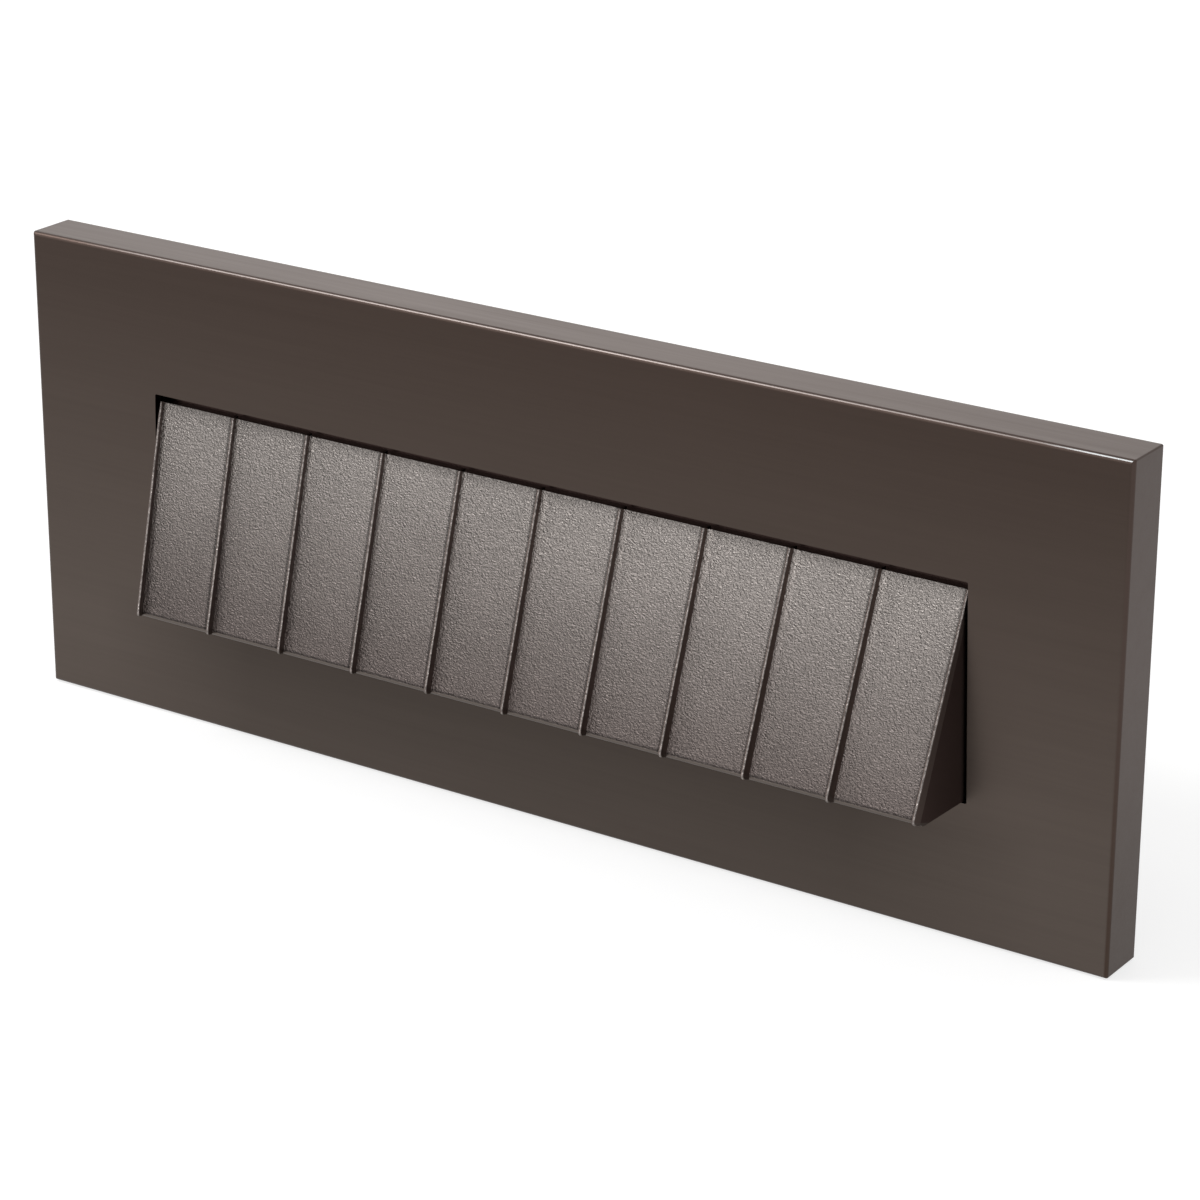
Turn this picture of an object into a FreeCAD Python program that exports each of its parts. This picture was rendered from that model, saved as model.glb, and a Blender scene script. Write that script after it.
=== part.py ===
import FreeCAD, Part
import math
import os

# Recessed step light, in millimetres. +Z is up, -Y is out of the wall and +X is to the right
# as seen from the front. The origin is the centre of the faceplate on the wall's surface (y = 0).

V = FreeCAD.Vector
FORWARD = V(0, -1, 0)
BACKWARD = V(0, 1, 0)

# --- faceplate
FACE_W = 228.6
FACE_H = 90.2
FACE_D = 9.9             # from the wall to the front face
FACE_WALL = 2.6          # thickness of the front
RIM_WALL = 2.4           # thickness of the returned edges
FACE_EDGE_R = 0.8        # round the front
FACE_CORNER_R = 0.3      # along the four edges that run to the wall
PRY_W = 12.0             # notch under the bottom edge for pulling the trim off
PRY_H = 1.2
PRY_D = 2.5

# --- window in the faceplate
WINDOW_TOP_W = 171.4     # at its top edge, on the plate's front
WINDOW_TOP = 18.6
WINDOW_BOTTOM = -20.4
WINDOW_CORNER_R = 0.3

# --- hood: a wedge with raised ribs, which slides forward and down through the window
HOOD_TOP_GAP = 1.95      # between the window's top edge and the hood
HOOD_SIDE_GAP = 0.6      # between the window's ends and the hood's
HOOD_BOTTOM_GAP = 0.4    # between the window's bottom edge and the hood's ends
HOOD_TOP_RECESS = 1.8    # the sloping face starts this far behind the plate's front
HOOD_REACH = 9.4         # its lip stands this far in front of it
HOOD_LIP_DROP = 2.25     # the lip hangs this far below the hood's ends at the plate
HOOD_WALL = 2.0
HOOD_END_WALL = 2.0
END_LEAN = 2.0           # degrees, the ends of hood and window lean apart downwards
HOOD_DRAFT = 17.4        # degrees, they draw in towards the front
HOOD_LIP_R = 0.6
FLANGE_T = 2.0
FLANGE_MARGIN = 4.0      # flange beyond the window's edges
FLANGE_LOBE_R = 4.2      # round each screw
FLANGE_CORNER_R = 2.0
RIB_COUNT = 11
RIB_T = 0.6
RIB_TOP_H = 1.0
RIB_TOP_RISE = 0.35      # the ribs stand this far above the hood's top face
RIB_BOTTOM_H = 1.7
RIB_STOP = 0.4           # the ribs end this far above the lip
RIB_CREST_R = 0.27
RIB_TIP_R = 0.9
RIB_ROOT = 0.8           # depth sunk into the sloping wall

# --- screws of the trim
HOOD_BOSS_H = 1.2
HOOD_BOSS_R = 3.2
HOOD_SCREW_X = 60.0
HOOD_SCREW_INSET = 5.5   # from the window's edge
M3_TAP_R = 1.25
M3_CLEAR_R = 1.7
M3_HEAD_R = 2.8
M3_HEAD_H = 2.0
LOW_HEAD_H = 1.4         # low heads, where the trim lies close over the box
BLIND_END = 1.2          # metal left under a blind hole in the faceplate

# --- gaskets of the trim
HOOD_GASKET_INSET = 0.6
GASKET_BOSS_GAP = 0.2
WALL_GASKET_W = 4.8

# --- wall box
BOX_W = 176.0
BOX_DEPTH = 36.0
BOX_DRAFT = 1.2          # each side narrows this much towards the back
BOX_WALL = 2.2
BOX_CORNER_R = 6.0
WALL_FLANGE_GAP = 1.3    # between the flange and the wall gasket
WALL_FLANGE_RIM = 4.6    # flange above and below the box
WALL_FLANGE_T = 2.2
WALL_FLANGE_R = 5.0
WALL_HOLE_Z = 24.0
WALL_HOLE_R = 2.2
POST_X = 80.8
POST_Z = 16.0
POST_R = 3.4
POST_HOLE_D = 10.0
HUB_R = 13.5
HUB_BORE_R = 10.3        # 1/2 in. trade size conduit thread
HUB_LENGTH = 7.5         # beyond the box wall
HUB_Y = 18.0
SPARE_HUB_X = 46.0
EARTH_POST_X = -64.0
EARTH_POST_INSET = 7.8   # from the mouth's upper edge
EARTH_POST_H = 6.0

# --- spring clips
CLIP_X = 70.0
CLIP_HEAD_GAP = 0.5      # between a clip screw's head and the wall gasket
CLIP_BOSS_R = 3.0
CLIP_BOSS_H = 3.0
CLIP_W = 9.0
CLIP_T = 0.5
CLIP_FOOT_OVER = 3.0     # foot past its screw
CLIP_BEND_R = 1.2
CLIP_WALL_GAP = 0.2      # between the bow's crest and the box wall
CLIP_BOW = 0.7
CLIP_LENGTH = 21.0
CLIP_TOE = 1.4

# --- bracket in the box
BRACKET_Y = 16.0
BRACKET_T = 1.5
BRACKET_W = 169.0
BRACKET_H = 40.0
BRACKET_CORNER_R = 2.0
BRACKET_NOTCH_X = 77.4
BRACKET_NOTCH_Z = 11.8
M35_TAP_R = 1.45
M35_CLEAR_R = 1.95
M35_HEAD_R = 3.0
M35_HEAD_H = 2.2
BRACKET_SCREW_L = 9.0

# --- light module
TRAY_W = 153.0
TRAY_H = 45.0
TRAY_FRONT_Y = 1.2
TRAY_FLOOR = 3.5
TRAY_RIM = 4.5           # width of the rim that the lens frame is screwed to
TRAY_LEDGE = 1.2         # ledge under the lens gasket
TRAY_CORNER_R = 3.0
LENS_T = 3.0
LENS_GAP = 0.3
LENS_GASKET_T = 1.0
FRAME_T = 1.6
FRAME_LIP = 2.2          # over the lens's edge
M25_TAP_R = 1.0
M25_CLEAR_R = 1.45
M25_HEAD_R = 2.2
M25_HEAD_H = 1.6
FRAME_SCREW_L = 5.0
FRAME_MID_X = 26.0
TRAY_SCREW_X = 66.0
TRAY_SCREW_Z = 14.0
TRAY_SCREW_DEPTH = 2.4
THERMAL_PAD_T = 0.5
BOARD_W = 128.0
BOARD_H = 22.0
BOARD_T = 1.6
BOARD_SCREW_X = 52.0
BOARD_SCREW_Z = 7.4
BOARD_SCREW_DEPTH = 2.4
EMITTER_COUNT = 12
EMITTER_PITCH = 7.8
EMITTER_SIZE = 3.5
EMITTER_T = 0.6
EMITTER_DOME_R = 1.3
REFLECTOR_T = 0.8
REFLECTOR_FLOOR_W = 108.0
REFLECTOR_FLOOR_H = 20.0
REFLECTOR_MOUTH_GAP = 0.3
REFLECTOR_GAP = 0.5      # round the board's screws and terminal
EMITTER_HOLE_R = 2.8
TERMINAL_L = 6.5
TERMINAL_W = 8.0
TERMINAL_H = 3.6
TERMINAL_INSET = 1.0     # from the board's end

# --- driver
DRIVER_W = 96.0
DRIVER_H = 34.0
DRIVER_T = 14.0
DRIVER_X = 4.0           # centre
DRIVER_WALL = 1.5
DRIVER_EAR_L = 10.0
DRIVER_EAR_W = 12.0
DRIVER_EAR_T = 2.0
DRIVER_HOLE_INSET = 4.5  # from the ear's end
DRIVER_POT_DROP = 1.0    # potting below the case's open edge

# --- leads
LEAD_R = 0.8
LEAD_GAP = 0.05
OUTPUT_PITCH = 2.8
OUTPUT_X = 68.0
GROMMET_R = 3.6
GROMMET_HEAD_R = 4.8
GROMMET_HEAD_T = 1.2
LEAD_Y = 25.0            # where the leads leave the driver
INPUT_Z = 5.0
EARTH_Z = 9.0
CONNECTOR_X = -58.0      # open end
CONNECTOR_GAP = 0.1      # between a connector and the earth screw's head
CONNECTOR_L = 19.0
CONNECTOR_R = 4.6
CONNECTOR_TIP_R = 2.4
CONNECTOR_BORE_D = 8.0
LUG_R = 3.6
LUG_T = 0.8
LUG_BARREL_R = 1.6
LUG_BARREL_L = 6.0
LUG_NECK_W = 3.2
LUG_NECK_L = 1.2         # between the screw's head and the barrel
M4_R = 2.0
M4_TAP_R = 1.65
M4_HEAD_R = 3.8
M4_HEAD_H = 2.6
PLUG_GAP = 0.05
PLUG_HEAD_R = 12.6
PLUG_HEAD_T = 2.5
PLUG_SEAL_T = 1.0
PLUG_SOCKET = 9.5        # across the flats
PLUG_SOCKET_D = 6.0

# --- places that several pieces share
FRONT_Y = -FACE_D
INNER_Y = FRONT_Y + FACE_WALL                 # back of the faceplate's front
FLANGE_Y = INNER_Y + HOOD_BOSS_H              # front of the hood's flange
FLANGE_BACK_Y = FLANGE_Y + FLANGE_T
HOOD_TOP_Z = WINDOW_TOP - HOOD_TOP_GAP
HOOD_BOTTOM_Z = WINDOW_BOTTOM + HOOD_BOTTOM_GAP
SLOPE_TOP = V(0, FRONT_Y + HOOD_TOP_RECESS, HOOD_TOP_Z)
SLOPE_BOTTOM = V(0, FRONT_Y - HOOD_REACH, HOOD_BOTTOM_Z - HOOD_LIP_DROP)
WINDOW_MID_Z = (WINDOW_TOP + WINDOW_BOTTOM) / 2
WINDOW_H = WINDOW_TOP - WINDOW_BOTTOM
LEAN = math.tan(math.radians(END_LEAN))
DRAFT = math.tan(math.radians(HOOD_DRAFT))
WINDOW_W = WINDOW_TOP_W + 2 * (LEAN * WINDOW_H + DRAFT * FACE_WALL)   # its greatest width
GASKET_SPAN_W = FACE_W - 2 * (RIM_WALL + WALL_GASKET_W)    # inside the wall gasket
GASKET_SPAN_H = FACE_H - 2 * (RIM_WALL + WALL_GASKET_W)
WALL_FLANGE_W = GASKET_SPAN_W - 2 * WALL_FLANGE_GAP
WALL_FLANGE_H = GASKET_SPAN_H - 2 * WALL_FLANGE_GAP
WALL_HOLE_X = (BOX_W + WALL_FLANGE_W) / 4     # midway between the box and the flange's edge
BOX_H = WALL_FLANGE_H - 2 * WALL_FLANGE_RIM
CLIP_BOSS_Z = GASKET_SPAN_H / 2 - M3_HEAD_R - CLIP_HEAD_GAP
BOX_BACK_Y = BOX_DEPTH - BOX_WALL             # inner face of the box's back
MOUTH_W = BOX_W - 2 * BOX_WALL
MOUTH_H = BOX_H - 2 * BOX_WALL
EARTH_POST_Z = MOUTH_H / 2 - EARTH_POST_INSET
CONNECTOR_Z = EARTH_POST_Z - M4_HEAD_R - CONNECTOR_GAP - CONNECTOR_R
BRACKET_BACK_Y = BRACKET_Y + BRACKET_T
TRAY_FLOOR_Y = BRACKET_Y - TRAY_FLOOR         # inner face of the tray's floor
LENS_BACK_Y = TRAY_FRONT_Y + LENS_T
LEDGE_Y = LENS_BACK_Y + LENS_GASKET_T
SEAT_W = TRAY_W - 2 * TRAY_RIM
SEAT_H = TRAY_H - 2 * TRAY_RIM
CAVITY_W = SEAT_W - 2 * TRAY_LEDGE
CAVITY_H = SEAT_H - 2 * TRAY_LEDGE
PAD_Y = TRAY_FLOOR_Y - THERMAL_PAD_T
BOARD_Y = PAD_Y - BOARD_T                     # front of the board
DRIVER_END_X = DRIVER_X - DRIVER_W / 2        # end where the supply side leads leave
DRIVER_FAR_X = DRIVER_X + DRIVER_W / 2
CLIP_BOSS_Y = INNER_Y + CLIP_BOSS_H


def block(w, h, y0, y1, x=0.0, z=0.0):
    """A box w wide and h high about (x, z), from y0 to y1."""
    return Part.makeBox(w, y1 - y0, h, V(x - w / 2, y0, z - h / 2))


def rounded_face(w, h, r, y, x=0.0, z=0.0):
    """A rectangle with round corners, in the plane at y."""
    a, b = w / 2, h / 2
    k = r * (1 - math.sqrt(0.5))
    edges = []
    for sx, sz, along_x in ((1, 1, False), (-1, 1, True), (-1, -1, False), (1, -1, True)):
        first = V(x + sx * a, y, z + sz * (b - r))
        last = V(x + sx * (a - r), y, z + sz * b)
        if along_x:
            first, last = last, first
        mid = V(x + sx * (a - k), y, z + sz * (b - k))
        edges.append((first, mid, last))
    parts = []
    for i, (first, mid, last) in enumerate(edges):
        parts.append(Part.Arc(first, mid, last).toShape())
        parts.append(Part.LineSegment(last, edges[(i + 1) % 4][0]).toShape())
    return Part.Face(Part.Wire(parts))


def plate(w, h, r, y0, y1, x=0.0, z=0.0):
    """A plate with round corners, from y0 to y1."""
    return rounded_face(w, h, r, y0, x, z).extrude(V(0, y1 - y0, 0))


def rod(r, y0, y1, x, z):
    """A cylinder along Y from y0 to y1."""
    return Part.makeCylinder(r, y1 - y0, V(x, y0, z), BACKWARD)


def polygon(points):
    """A face inside straight edges."""
    return Part.Face(Part.makePolygon(points + [points[0]]))


def group(solids):
    """Separate solids that share a node."""
    return Part.Compound(solids)


def screw(x, z, seat_y, shank_r, length, head_r, head_h, way):
    """A pan head screw. Its head sits on seat_y, and its shank runs along way (+1 is +Y)."""
    point = V(x, seat_y, z)
    shank = Part.makeCylinder(shank_r, length, point, V(0, way, 0))
    head = Part.makeCylinder(head_r, head_h, point, V(0, -way, 0))
    rim = [e for e in head.Edges if isinstance(e.Curve, Part.Circle)
           and abs(e.Curve.Center.y - (seat_y - way * head_h)) < 1e-6]
    head = head.makeFillet(head_h * 0.45, rim)
    top_y = seat_y - way * head_h
    recess = group([
        Part.makeBox(head_r, head_h * 0.5, head_r * 0.28,
                     V(x - head_r / 2, top_y - head_h * 0.25, z - head_r * 0.14)),
        Part.makeBox(head_r * 0.28, head_h * 0.5, head_r,
                     V(x - head_r * 0.14, top_y - head_h * 0.25, z - head_r / 2))])
    return head.cut(recess.Solids[0]).cut(recess.Solids[1]).fuse(shank).removeSplitter()


def lead(points, name):
    """A round lead along straight runs joined by arcs as large as the runs allow."""
    edges = []
    radii = []
    start = points[0]
    for before, corner, after in zip(points, points[1:], points[2:]):
        into, out = corner - before, after - corner
        turn = into.getAngle(out)
        radius = 0.45 * min(into.Length, out.Length) / math.tan(turn / 2)
        trim = radius * math.tan(turn / 2)
        into.normalize()
        out.normalize()
        first = corner - into * trim
        last = corner + out * trim
        inward = out - into
        inward.normalize()
        mid = corner + inward * (radius / math.cos(turn / 2) - radius)
        edges.append(Part.LineSegment(start, first).toShape())
        edges.append(Part.Arc(first, mid, last).toShape())
        radii.append(round(radius, 1))
        start = last
    edges.append(Part.LineSegment(start, points[-1]).toShape())
    path = Part.Wire(edges)
    ring = Part.Wire(Part.makeCircle(LEAD_R, points[0], points[1] - points[0]))
    tube = path.makePipeShell([ring], True, False)
    print(name, "length", round(path.Length, 1), "bend radii", radii,
          "volume ratio", round(tube.Volume / (math.pi * LEAD_R ** 2 * path.Length), 4))
    return tube


# --- the ends that hood and window share

def hood_half_width(y, z):
    """Half the hood's width, on its ends, which draw in towards the front and the top."""
    at_front = WINDOW_TOP_W / 2 - HOOD_SIDE_GAP + (WINDOW_TOP - z) * LEAN
    return at_front + (y - FRONT_Y) * DRAFT


def between_ends(low, high, y_front, y_back):
    """The space between two end faces, given as functions of y and z, over the plate's height."""
    wires = []
    for y in (y_front, y_back):
        points = [V(side(y, z), y, z) for side, z in ((low, -FACE_H / 2), (high, -FACE_H / 2),
                                                       (high, FACE_H / 2), (low, FACE_H / 2))]
        wires.append(Part.makePolygon(points + [points[0]]))
    return Part.makeLoft(wires, True, True)


def drafted_ends(y_front, y_back, inset=0.0):
    """The space between the hood's ends, less inset at each."""
    return between_ends(lambda y, z: inset - hood_half_width(y, z),
                        lambda y, z: hood_half_width(y, z) - inset, y_front, y_back)


# --- faceplate

def hood_screw_places():
    """(x, z) of the screws that hold the hood to the faceplate."""
    rows = (WINDOW_TOP + HOOD_SCREW_INSET, WINDOW_BOTTOM - HOOD_SCREW_INSET)
    return [(x, z) for z in rows for x in (-HOOD_SCREW_X, 0.0, HOOD_SCREW_X)]


def clip_places():
    """(x, side) of the spring clips, with side +1 at the top."""
    return [(x, side) for side in (1, -1) for x in (-CLIP_X, CLIP_X)]


def make_faceplate():
    body = block(FACE_W, FACE_H, FRONT_Y, 0.0)
    front_edges = [e for e in body.Edges
                   if all(abs(v.Y - FRONT_Y) < 1e-6 for v in e.Vertexes)]
    body = body.makeFillet(FACE_EDGE_R, front_edges)
    corner_edges = [e for e in body.Edges
                    if abs(e.Vertexes[0].Y - e.Vertexes[-1].Y) > FACE_D / 2]
    body = body.makeFillet(FACE_CORNER_R, corner_edges)
    body = body.cut(block(FACE_W - 2 * RIM_WALL, FACE_H - 2 * RIM_WALL, INNER_Y, 1.0))
    for x, z in hood_screw_places():
        body = body.fuse(rod(HOOD_BOSS_R, INNER_Y, FLANGE_Y, x, z))
        body = body.cut(rod(M3_TAP_R, FRONT_Y + BLIND_END, FLANGE_Y, x, z))
    for x, side in clip_places():
        z = side * CLIP_BOSS_Z
        body = body.fuse(rod(CLIP_BOSS_R, INNER_Y, CLIP_BOSS_Y, x, z))
        body = body.cut(rod(M3_TAP_R, FRONT_Y + BLIND_END, CLIP_BOSS_Y, x, z))
    window = block(FACE_W, WINDOW_H, FRONT_Y - 1, INNER_Y + 1, 0, WINDOW_MID_Z)
    window = window.common(drafted_ends(FRONT_Y - 2, INNER_Y + 2, -HOOD_SIDE_GAP)).Solids[0]
    window = window.makeFillet(WINDOW_CORNER_R, [e for e in window.Edges
                                                 if abs(e.Vertexes[0].Y - e.Vertexes[-1].Y) > 1])
    notch = Part.makeBox(PRY_W, PRY_D, PRY_H, V(-PRY_W / 2, -PRY_D, -FACE_H / 2))
    return body.cut(window).cut(notch)


# --- hood

def side_prism(points):
    """A prism along X, as wide as the faceplate, from (y, z) points."""
    face = polygon([V(-FACE_W / 2, y, z) for y, z in points])
    return face.extrude(V(FACE_W, 0, 0))


def slope_direction():
    """The way down the sloping face, and its outward normal."""
    down = SLOPE_BOTTOM - SLOPE_TOP
    down.normalize()
    return down, V(0, down.z, -down.y)


def make_rib(index):
    """One rib. The ribs share out the width between the hood's ends at every height."""
    down, out = slope_direction()
    rib_top_z = HOOD_TOP_Z + RIB_TOP_RISE
    crest_top = SLOPE_TOP + out * RIB_TOP_H
    crest_top = crest_top + down * ((crest_top.z - rib_top_z) / -down.z)
    foot = SLOPE_BOTTOM - down * RIB_STOP
    crest_bottom = foot + out * RIB_BOTTOM_H
    outline = [crest_top, crest_bottom, foot, foot - (out + down) * RIB_ROOT,
               V(0, SLOPE_TOP.y + RIB_ROOT / -out.y, rib_top_z)]
    body = side_prism([(p.y, p.z) for p in outline])
    share = 2.0 * index / (RIB_COUNT - 1) - 1

    def side(offset):
        return lambda y, z: share * (hood_half_width(y, z) - RIB_T / 2) + offset

    slab = between_ends(side(-RIB_T / 2), side(RIB_T / 2), crest_bottom.y - 1, FLANGE_Y)
    rib = body.common(slab).Solids[0]
    tip = [e for e in rib.Edges
           if all(math.hypot(v.Y - crest_bottom.y, v.Z - crest_bottom.z) < 1e-4 for v in e.Vertexes)]
    rib = rib.makeFillet(RIB_TIP_R, tip)
    line = crest_bottom - crest_top
    crest = [e for e in rib.Edges if e.Length > line.Length / 2
             and all(on_crest(v.Point, crest_top, line) for v in e.Vertexes)]
    return rib.makeFillet(RIB_CREST_R, crest)


def on_crest(point, start, line):
    """Whether a point's (y, z) lies on the crest's line."""
    offset = V(0, point.y - start.y, point.z - start.z)
    return offset.cross(line).Length / line.Length < 1e-4


def make_hood():
    down, out = slope_direction()
    tip_y = SLOPE_BOTTOM.y - 1
    mid_flange = FLANGE_Y + FLANGE_T / 2
    wedge = side_prism([(mid_flange, HOOD_TOP_Z), (SLOPE_TOP.y, HOOD_TOP_Z),
                        (SLOPE_BOTTOM.y, SLOPE_BOTTOM.z), (FRONT_Y, HOOD_BOTTOM_Z),
                        (mid_flange, HOOD_BOTTOM_Z)])
    wedge = wedge.common(drafted_ends(tip_y, mid_flange)).Solids[0]
    lip = [e for e in wedge.Edges
           if all(abs(v.Y - SLOPE_BOTTOM.y) < 1e-6 and abs(v.Z - SLOPE_BOTTOM.z) < 1e-6
                  for v in e.Vertexes)]
    wedge = wedge.makeFillet(HOOD_LIP_R, lip)

    flange = plate(WINDOW_W + 2 * FLANGE_MARGIN, WINDOW_H + 2 * FLANGE_MARGIN, FLANGE_CORNER_R,
                   FLANGE_Y, FLANGE_BACK_Y, 0, WINDOW_MID_Z)
    for x, z in hood_screw_places():
        flange = flange.fuse(rod(FLANGE_LOBE_R, FLANGE_Y, FLANGE_BACK_Y, x, z))
        flange = flange.cut(rod(M3_CLEAR_R, FLANGE_Y - 1, FLANGE_BACK_Y + 1, x, z))
    ribs = [make_rib(i) for i in range(RIB_COUNT)]
    body = wedge.fuse([flange] + ribs)

    inner_top_z = HOOD_TOP_Z - HOOD_WALL
    start = SLOPE_TOP - out * HOOD_WALL
    start = start + down * ((start.z - inner_top_z) / -down.z)
    end = start + down * ((start.z - SLOPE_BOTTOM.z + 5) / -down.z)
    hollow_y = FLANGE_BACK_Y + 1
    hollow = side_prism([(hollow_y, inner_top_z), (start.y, inner_top_z),
                         (end.y, end.z), (hollow_y, end.z)])
    hollow = hollow.common(drafted_ends(tip_y, hollow_y, HOOD_END_WALL))
    below = block(FACE_W, FACE_H, FLANGE_Y, hollow_y, 0, HOOD_BOTTOM_Z - FACE_H / 2)
    return body.cut(hollow.cut(below)).removeSplitter()


def make_hood_gasket():
    inset = 2 * HOOD_GASKET_INSET
    ring = plate(WINDOW_W + 2 * FLANGE_MARGIN - inset, WINDOW_H + 2 * FLANGE_MARGIN - inset,
                 FLANGE_CORNER_R, INNER_Y, FLANGE_Y, 0, WINDOW_MID_Z)
    ring = ring.cut(plate(WINDOW_W + inset, WINDOW_H + inset, WINDOW_CORNER_R,
                          INNER_Y - 1, FLANGE_Y + 1, 0, WINDOW_MID_Z))
    for x, z in hood_screw_places():
        ring = ring.cut(rod(HOOD_BOSS_R + GASKET_BOSS_GAP, INNER_Y - 1, FLANGE_Y + 1, x, z))
    return ring


def make_hood_screws():
    length = FLANGE_BACK_Y - (FRONT_Y + BLIND_END) - 0.4
    return group([screw(x, z, FLANGE_BACK_Y, M3_TAP_R, length, M3_HEAD_R, LOW_HEAD_H, -1)
                  for x, z in hood_screw_places()])


# --- clips that hold the trim in the box

def make_clip(x, side):
    """A leaf clip: a foot on its boss, then a bowed leg back along the box's inner wall."""
    foot_y = CLIP_BOSS_Y + CLIP_T
    mid_y = CLIP_BOSS_Y + CLIP_BEND_R + CLIP_LENGTH * 0.55
    crest_z = MOUTH_H / 2 - BOX_DRAFT * mid_y / BOX_DEPTH - CLIP_WALL_GAP
    leg_z = crest_z - CLIP_BOW
    r, t = CLIP_BEND_R, CLIP_T
    s = math.sqrt(0.5)
    bend = (foot_y - t + r, leg_z - t + r)
    inner = r
    outer = r - t
    leg_y = bend[0]
    toe_y = leg_y + CLIP_LENGTH
    toe_z = leg_z - CLIP_TOE
    tip_z = CLIP_BOSS_Z + CLIP_FOOT_OVER

    def p(y, z):
        return V(x - CLIP_W / 2, y, side * z)

    top = [p(foot_y - t, tip_z), p(foot_y - t, bend[1]), p(leg_y, leg_z - t),
           p(toe_y, toe_z - t), p(toe_y, toe_z), p(leg_y, leg_z), p(foot_y, bend[1]), p(foot_y, tip_z)]
    edges = [
        Part.LineSegment(top[0], top[1]),
        Part.Arc(top[1], p(bend[0] - inner * s, bend[1] - inner * s), top[2]),
        Part.Arc(top[2], p(mid_y, crest_z - t), top[3]),
        Part.LineSegment(top[3], top[4]),
        Part.Arc(top[4], p(mid_y, crest_z), top[5]),
        Part.Arc(top[5], p(bend[0] - outer * s, bend[1] - outer * s), top[6]),
        Part.LineSegment(top[6], top[7]),
        Part.LineSegment(top[7], top[0])]
    strip = Part.Face(Part.Wire([e.toShape() for e in edges])).extrude(V(CLIP_W, 0, 0))
    return strip.cut(rod(M3_CLEAR_R, CLIP_BOSS_Y - 1, foot_y + 1, x, side * CLIP_BOSS_Z))


def make_clip_screws():
    seat = CLIP_BOSS_Y + CLIP_T
    length = seat - (FRONT_Y + BLIND_END) - 0.4
    return group([screw(x, side * CLIP_BOSS_Z, seat, M3_TAP_R, length, M3_HEAD_R, LOW_HEAD_H, -1)
                  for x, side in clip_places()])


def make_wall_gasket():
    outer = block(FACE_W - 2 * RIM_WALL, FACE_H - 2 * RIM_WALL, INNER_Y, 0.0)
    return outer.cut(block(GASKET_SPAN_W, GASKET_SPAN_H, INNER_Y - 1, 1.0))


# --- wall box

def drafted_tub(w, h, r, y0, y1, inset):
    """A solid with round corners that narrows by inset on each side from y0 to y1."""
    front = rounded_face(w, h, r, y0).OuterWire
    back = rounded_face(w - 2 * inset, h - 2 * inset, r, y1).OuterWire
    return Part.makeLoft([front, back], True, True)


def conduit_hub(axis, start, length):
    return Part.makeCylinder(HUB_R, length, start, axis)


def make_back_box():
    tub = drafted_tub(BOX_W, BOX_H, BOX_CORNER_R, 0.0, BOX_DEPTH, BOX_DRAFT)
    flange = plate(WALL_FLANGE_W, WALL_FLANGE_H, WALL_FLANGE_R, -WALL_FLANGE_T, 0.0)
    side_start = V(-(BOX_W / 2 - BOX_WALL), HUB_Y, 0)
    side_length = BOX_WALL + HUB_LENGTH
    down_start = V(SPARE_HUB_X, HUB_Y, -(BOX_H / 2 - BOX_WALL))
    body = tub.fuse([flange, conduit_hub(V(-1, 0, 0), side_start, side_length),
                     conduit_hub(V(0, 0, -1), down_start, side_length)])
    inner_r = BOX_CORNER_R - BOX_WALL
    draft = BOX_DRAFT * BOX_BACK_Y / BOX_DEPTH
    hollow = drafted_tub(MOUTH_W, MOUTH_H, inner_r, 0.0, BOX_BACK_Y, draft)
    mouth = plate(MOUTH_W, MOUTH_H, inner_r, -WALL_FLANGE_T - 1, 0.0)
    body = body.cut(hollow).cut(mouth)
    reach = BOX_WALL + HUB_LENGTH + 2 * BOX_DRAFT
    body = body.cut(Part.makeCylinder(HUB_BORE_R, reach, side_start + V(BOX_DRAFT, 0, 0), V(-1, 0, 0)))
    body = body.cut(Part.makeCylinder(HUB_BORE_R, reach, down_start + V(0, 0, BOX_DRAFT), V(0, 0, -1)))
    for sx in (-1, 1):
        for sz in (-1, 1):
            x, z = sx * POST_X, sz * POST_Z
            body = body.fuse(rod(POST_R, BRACKET_BACK_Y, BOX_BACK_Y, x, z))
            body = body.cut(rod(M35_TAP_R, BRACKET_BACK_Y, BRACKET_BACK_Y + POST_HOLE_D, x, z))
            body = body.cut(rod(WALL_HOLE_R, -WALL_FLANGE_T - 1, 1.0, sx * WALL_HOLE_X,
                                sz * WALL_HOLE_Z))
    top = BOX_BACK_Y - EARTH_POST_H
    body = body.fuse(rod(POST_R, top, BOX_BACK_Y, EARTH_POST_X, EARTH_POST_Z))
    body = body.cut(rod(M4_TAP_R, top, BOX_BACK_Y, EARTH_POST_X, EARTH_POST_Z))
    return body.removeSplitter()


def make_conduit_plug():
    end_z = -(BOX_H / 2 + HUB_LENGTH)
    seat_z = end_z - PLUG_SEAL_T
    length = PLUG_SEAL_T + HUB_LENGTH + BOX_WALL
    down = V(0, 0, -1)
    body = Part.makeCylinder(HUB_BORE_R - PLUG_GAP, length, V(SPARE_HUB_X, HUB_Y, seat_z + length), down)
    head = Part.makeCylinder(PLUG_HEAD_R, PLUG_HEAD_T, V(SPARE_HUB_X, HUB_Y, seat_z), down)
    corner = PLUG_SOCKET / math.sqrt(3)
    bottom = seat_z - PLUG_HEAD_T
    points = [V(SPARE_HUB_X + corner * math.cos(math.radians(60 * i)),
                HUB_Y + corner * math.sin(math.radians(60 * i)), bottom) for i in range(6)]
    socket = polygon(points).extrude(V(0, 0, PLUG_SOCKET_D))
    return body.fuse(head).cut(socket).removeSplitter()


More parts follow.
